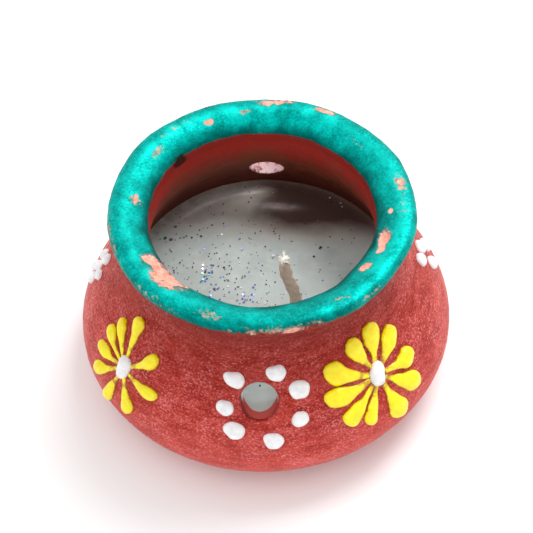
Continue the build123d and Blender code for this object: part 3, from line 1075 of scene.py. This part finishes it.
def build_wax():
    """Wax with a shallow dished top, crept up at the wall, filling the pot and a window's foot."""
    wall = (PS > S_WAX + 2.5) & (PS < PS[-1] - 0.5)
    rows_s = PS[wall][:: int(2.0 / PROFILE_STEP)]
    wall_r, wall_z = np.interp(rows_s, PS, PR) - 0.12, np.interp(rows_s, PS, PZ) + 0.05
    rim_r = float(np.interp(S_WAX, PS, PR)) - 0.1
    rings_r = np.r_[np.linspace(1.2, rim_r - 5.0, 28), np.linspace(rim_r - 4.8, rim_r, 26)]
    turns = np.arange(WAX_COLUMNS) * 360 / WAX_COLUMNS
    # how far the wax runs out past the wall, into a window's foot
    extra = np.zeros(WAX_COLUMNS)
    for azimuth, turn, radius in shore_points():
        shore_r = np.interp(wrap(turns - azimuth), turn, radius - 0.05, 0, 0)
        extra = np.maximum(extra, shore_r - rim_r)
    wall_side = np.exp(-((extra / 0.4) ** 2))
    r = rings_r[:, None]
    reach = r + extra * smoothstep(rim_r - 5.0, rim_r, r)
    x, y = on_circle(reach, turns)
    from_wick = np.hypot(x - WICK_FOOT[0], y - WICK_FOOT[1])
    creep = 0.55 * np.exp(-(rim_r - r) / 0.7) * wall_side
    creep = creep + 0.5 * np.exp(-np.clip(from_wick - 1.2, 0, None) / 0.9)
    dimples = field(np.stack([x, y, np.full_like(x, 3.0)], -1), 7.0, 12, 1)
    top = np.stack([x, y, WAX_TOP - WAX_DISH + creep + 0.10 * dimples], -1)
    # guides for the wax material: rim darker towards the wall, painted shadow at the back right, painted
    # pale reflections, thin film
    to_right = 0.45 + 0.55 * smoothstep(-9.0, 5.0, x)
    # painted reflections on the wax: a pale arc near the back left wall and a streak at the back
    arc = np.exp(-(((r - 24.6) / 0.5) ** 2)) * smoothstep(27, 14, np.abs(wrap(turns - 206)))
    lens = np.exp(-(((x - 2.5) / 3.6) ** 2) - ((y - 20.6 + 0.08 * x) / 0.8) ** 2)
    film = smoothstep(-2.1, -1.5, reach - rim_r - extra) * smoothstep(1.0, 2.5, extra)
    guides = {
        "edge": (np.clip(1 - (rim_r - r) / 5.0, 0, None) * wall_side, 1.0),
        "dark": (smoothstep(7.0, 19.0, y + 0.04 * np.abs(x)) * to_right, 1.0),
        "streak": (np.maximum(arc, lens), 0.0),
        "film": (film, 0.0),
    }
    sides = [np.stack([*on_circle(radius, turns), np.full(WAX_COLUMNS, z)], -1)
             for radius, z in zip(wall_r, wall_z)]
    poles = [(0, 0, WAX_TOP - WAX_DISH), (0, 0, wall_z[-1])]
    points = np.vstack([top.reshape(-1, 3), *sides, poles])
    below = len(points) - x.size - len(poles)
    painted = {
        key: np.r_[values.ravel(), np.full(below, under), 0.0, under]
        for key, (values, under) in guides.items()
    }
    rings = len(rings_r) + len(sides)
    faces = [face[::-1] for face in ring_faces(rings, WAX_COLUMNS)]
    last = (rings - 1) * WAX_COLUMNS
    for i in range(WAX_COLUMNS):
        j = (i + 1) % WAX_COLUMNS
        faces.append((i, j, len(points) - 2))
        faces.append((last + j, last + i, len(points) - 1))
    return mesh_object("wax_pool", points, faces, painted)


wick_low, wick_high = (np.array(v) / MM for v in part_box("wick"))
WICK_HALF = 1.35
WICK_FOOT = (wick_high[0] - WICK_HALF, wick_low[1] + WICK_HALF, WAX_TOP)
WICK_TIP = (wick_low[0] + WICK_HALF, wick_high[1] - WICK_HALF, wick_high[2])


def build_wick():
    """Flat braided wick: upright in the wax, then leaning with a kink to a frayed tip."""
    foot, tip = np.array(WICK_FOOT), np.array(WICK_TIP)
    root = np.array([foot[0], foot[1], wick_low[2] + 0.1])
    steps = 60
    across = 20
    points, at_tip = [], []
    rise = tip - foot
    flat_dir = unit([1.0, 0.35, 0])
    for k in range(steps):
        t = k / (steps - 1)
        if t < 0.4:
            middle = root + (foot - root) * (t / 0.4)
            out = 0.0
        else:
            out = (t - 0.4) / 0.6
            middle = foot + rise * out
            middle = middle + flat_dir * 0.35 * math.sin(out * 2 * math.pi)
        twist = 0.5 * out
        c, s = math.cos(twist), math.sin(twist)
        wide = np.array([flat_dir[0] * c - flat_dir[1] * s, flat_dir[0] * s + flat_dir[1] * c, 0])
        thin = np.cross([0, 0, 1.0], wide)
        taper = 1.0 - 0.25 * smoothstep(0.9, 1.0, out)
        bulge = 1 + 0.07 * math.sin(out * 19) + 0.04 * math.sin(out * 47)
        for j in range(across):
            a = 2 * math.pi * j / across
            ca, sa = math.cos(a), math.sin(a)
            x = 1.22 * math.copysign(abs(ca) ** 0.7, ca) * taper * bulge
            y = 0.58 * math.copysign(abs(sa) ** 0.7, sa) * taper
            braid = 1 + 0.07 * math.sin(a * 4 + out * 40)
            points.append(middle + wide * x * braid + thin * y * braid)
            at_tip.append(float(smoothstep(0.86, 0.96, out)))
    faces = ring_faces(steps, across)
    faces.append(tuple(range(across))[::-1])
    faces.append(tuple((steps - 1) * across + j for j in range(across)))
    # frayed fibres at the cut end
    for k in range(34):
        a = rng.uniform(0, 2 * math.pi)
        reach = rng.uniform(0.5, 1.5)
        start = tip + np.array([math.cos(a), math.sin(a), 0]) * rng.uniform(0.1, 0.8)
        start[2] = tip[2] - rng.uniform(0.3, 0.9)
        lean = np.array([math.cos(a), math.sin(a), 0]) * rng.uniform(0.3, 1.1)
        first = len(points)
        for m in range(4):
            t = m / 3
            middle = start + lean * t * t * reach + np.array([0, 0, 0.7 * reach * t])
            middle[2] = min(middle[2], wick_high[2] + 0.35)
            wide = 0.17 * (1 - 0.7 * t)
            for j in range(5):
                b = 2 * math.pi * j / 5
                points.append(middle + np.array([math.cos(b), math.sin(b), 0]) * wide)
                at_tip.append(1.0)
        faces += ring_faces(4, 5, first)
        faces.append(tuple(first + j for j in range(5))[::-1])
        faces.append(tuple(first + 15 + j for j in range(5)))
    return mesh_object("braided_wick", points, faces, {"tip": at_tip})


# Drifts of bright flakes: azimuth, distance from the middle, spread, how many, largest half
# size in mm, and the low end of their colours on the glitter's scale.
DRIFTS = (
    (-125, 24, 1.6, 4, 0.42, 0.70), (-95, 14, 3.0, 2, 0.34, 0.90), (5, 5, 0.4, 1, 0.44, 0.90),
    (145, 25, 1.8, 3, 0.30, 0.96), (-110, 12, 1.1, 7, 0.26, 0.46), (-95, 12, 1.1, 10, 0.26, 0.46),
    (-65, 5, 1.1, 8, 0.26, 0.46), (-35, 6, 1.1, 12, 0.26, 0.46), (-120, 22, 1.4, 5, 0.26, 0.46),
)
FLAKES = 430


def build_glitter():
    """Loose flakes on the wax, densest on the left and front-left, with a few strays."""
    points, faces, hue = [], [], []
    pool = float(np.interp(S_WAX, PS, PR)) - 1.2
    wanted = []
    for azimuth, distance, spread, count, largest, tint_low in DRIFTS:
        for _ in range(count):
            x, y = np.add(on_circle(distance, azimuth), rng.normal(0, spread, 2))
            inside = min(1.0, (pool - 0.2) / math.hypot(x, y))
            size = rng.uniform(0.6, 1.0) * largest
            wanted.append((x * inside, y * inside, size, rng.uniform(tint_low, 1.0)))
    while len(wanted) < FLAKES:
        r = pool * math.sqrt(rng.uniform())
        t = rng.uniform(0, 2 * math.pi)
        x, y = r * math.sin(t), -r * math.cos(t)
        crowd = math.exp(-(((x + 9) / 9) ** 2) - ((y - 1) / 11) ** 2)
        if rng.uniform() > 0.14 + 0.86 * crowd:
            continue
        if math.hypot(x - WICK_FOOT[0], y - WICK_FOOT[1]) < 2.2:
            continue
        size = rng.uniform(0.09, 0.20) if rng.uniform() < 0.92 else rng.uniform(0.20, 0.32)
        wanted.append((x, y, size, rng.uniform(0, 0.62)))
    for x, y, size, tint in wanted:
        tilt = rng.normal(0, 0.16, 2)
        turn = rng.uniform(0, math.pi)
        z = WAX_TOP - 0.02 + 0.10 * noise.noise(Vector((x, y, 3)) / 7)
        first = len(points)
        for lift in (0.0, 0.05):
            for k in range(6):
                a = turn + k * math.pi / 3
                dx, dy = size * math.cos(a), size * math.sin(a)
                rise = max(-0.05, dx * tilt[0] + dy * tilt[1])
                points.append((x + dx, y + dy, z + rise + lift))
        hue += [tint] * 12
        faces.append(tuple(first + k for k in range(6))[::-1])
        faces.append(tuple(first + 6 + k for k in range(6)))
        faces += ring_faces(2, 6, first)
    flakes = mesh_object("glitter", points, faces, {"hue": hue})
    flakes.data.polygons.foreach_set("use_smooth", [False] * len(flakes.data.polygons))
    return flakes


finish_piece(build_wax(), wax_material(), "wax", "wax_fill")
finish_piece(build_wick(), wick_material(), "wick_cotton", "wick")
finish_piece(build_glitter(), glitter_material(), "glitter", "glitter_flakes")
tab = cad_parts["wick_sustainer"]
tab.data.materials.clear()
tab.data.materials.append(tin_material())

# ---------------------------------------------------------------- floor, light, camera
FLOOR_HALF_M = 1.5
floor_mesh = bpy.data.meshes.new("floor")
corners = [(-1, -1), (1, -1), (1, 1), (-1, 1)]
floor_mesh.from_pydata([(x * FLOOR_HALF_M, y * FLOOR_HALF_M, 0) for x, y in corners], [], [(0, 1, 2, 3)])
floor = bpy.data.objects.new("floor", floor_mesh)
floor.data.materials.append(floor_material())
bpy.context.scene.collection.objects.link(floor)

LAMP_AIM_M = Vector((0, 0, 0.03))
SKY_STRENGTH = 0.85

bpy.context.scene.view_settings.view_transform = "Standard"
world = bpy.data.worlds.new("studio")
bpy.context.scene.world = world
world.use_nodes = True
sky = world.node_tree.nodes["Background"]
sky.inputs["Color"].default_value = (1, 1, 1, 1)
sky.inputs["Strength"].default_value = SKY_STRENGTH


def direction(azimuth, elevation):
    """Unit vector towards an azimuth and an elevation in degrees."""
    e = math.radians(elevation)
    return Vector((*on_circle(math.cos(e), azimuth), math.sin(e)))


def softbox(name, azimuth, elevation, distance_m, size_m, watts):
    """Round soft lamp aimed at the pot."""
    lamp = bpy.data.lights.new(name, "AREA")
    lamp.shape = "DISK"
    lamp.size = size_m
    lamp.energy = watts
    made = bpy.data.objects.new(name, lamp)
    away = direction(azimuth, elevation)
    made.location = LAMP_AIM_M + away * distance_m
    made.rotation_euler = away.to_track_quat("Z", "Y").to_euler()
    bpy.context.scene.collection.objects.link(made)


softbox("key", 140, 58, 0.6, 0.30, 2.2)
softbox("front", -30, 62, 0.7, 0.5, 0.8)

# Camera where the photograph was taken from: a phone held close, about 51 degrees above the table
CAMERA_AZIMUTH = 3.6
CAMERA_ELEVATION = 50.71
CAMERA_DISTANCE_M = 0.260
CAMERA_AIM_Z_M = 0.0249
CAMERA_ROLL = -2.63
CAMERA_LENS = 87.9
CAMERA_SHIFT = 0.0056

camera_data = bpy.data.cameras.new("camera")
camera = bpy.data.objects.new("camera", camera_data)
bpy.context.scene.collection.objects.link(camera)
bpy.context.scene.camera = camera
camera_data.sensor_width = 36
camera_data.lens = CAMERA_LENS
camera_data.shift_x = CAMERA_SHIFT
camera_data.clip_start = 0.01
back = direction(CAMERA_AZIMUTH, CAMERA_ELEVATION)
camera.location = Vector((0, 0, CAMERA_AIM_Z_M)) + back * CAMERA_DISTANCE_M
turn = back.to_track_quat("Z", "Y").to_matrix().to_4x4()
roll = turn.Rotation(math.radians(CAMERA_ROLL), 4, "Z")
camera.rotation_euler = (turn @ roll).to_euler()
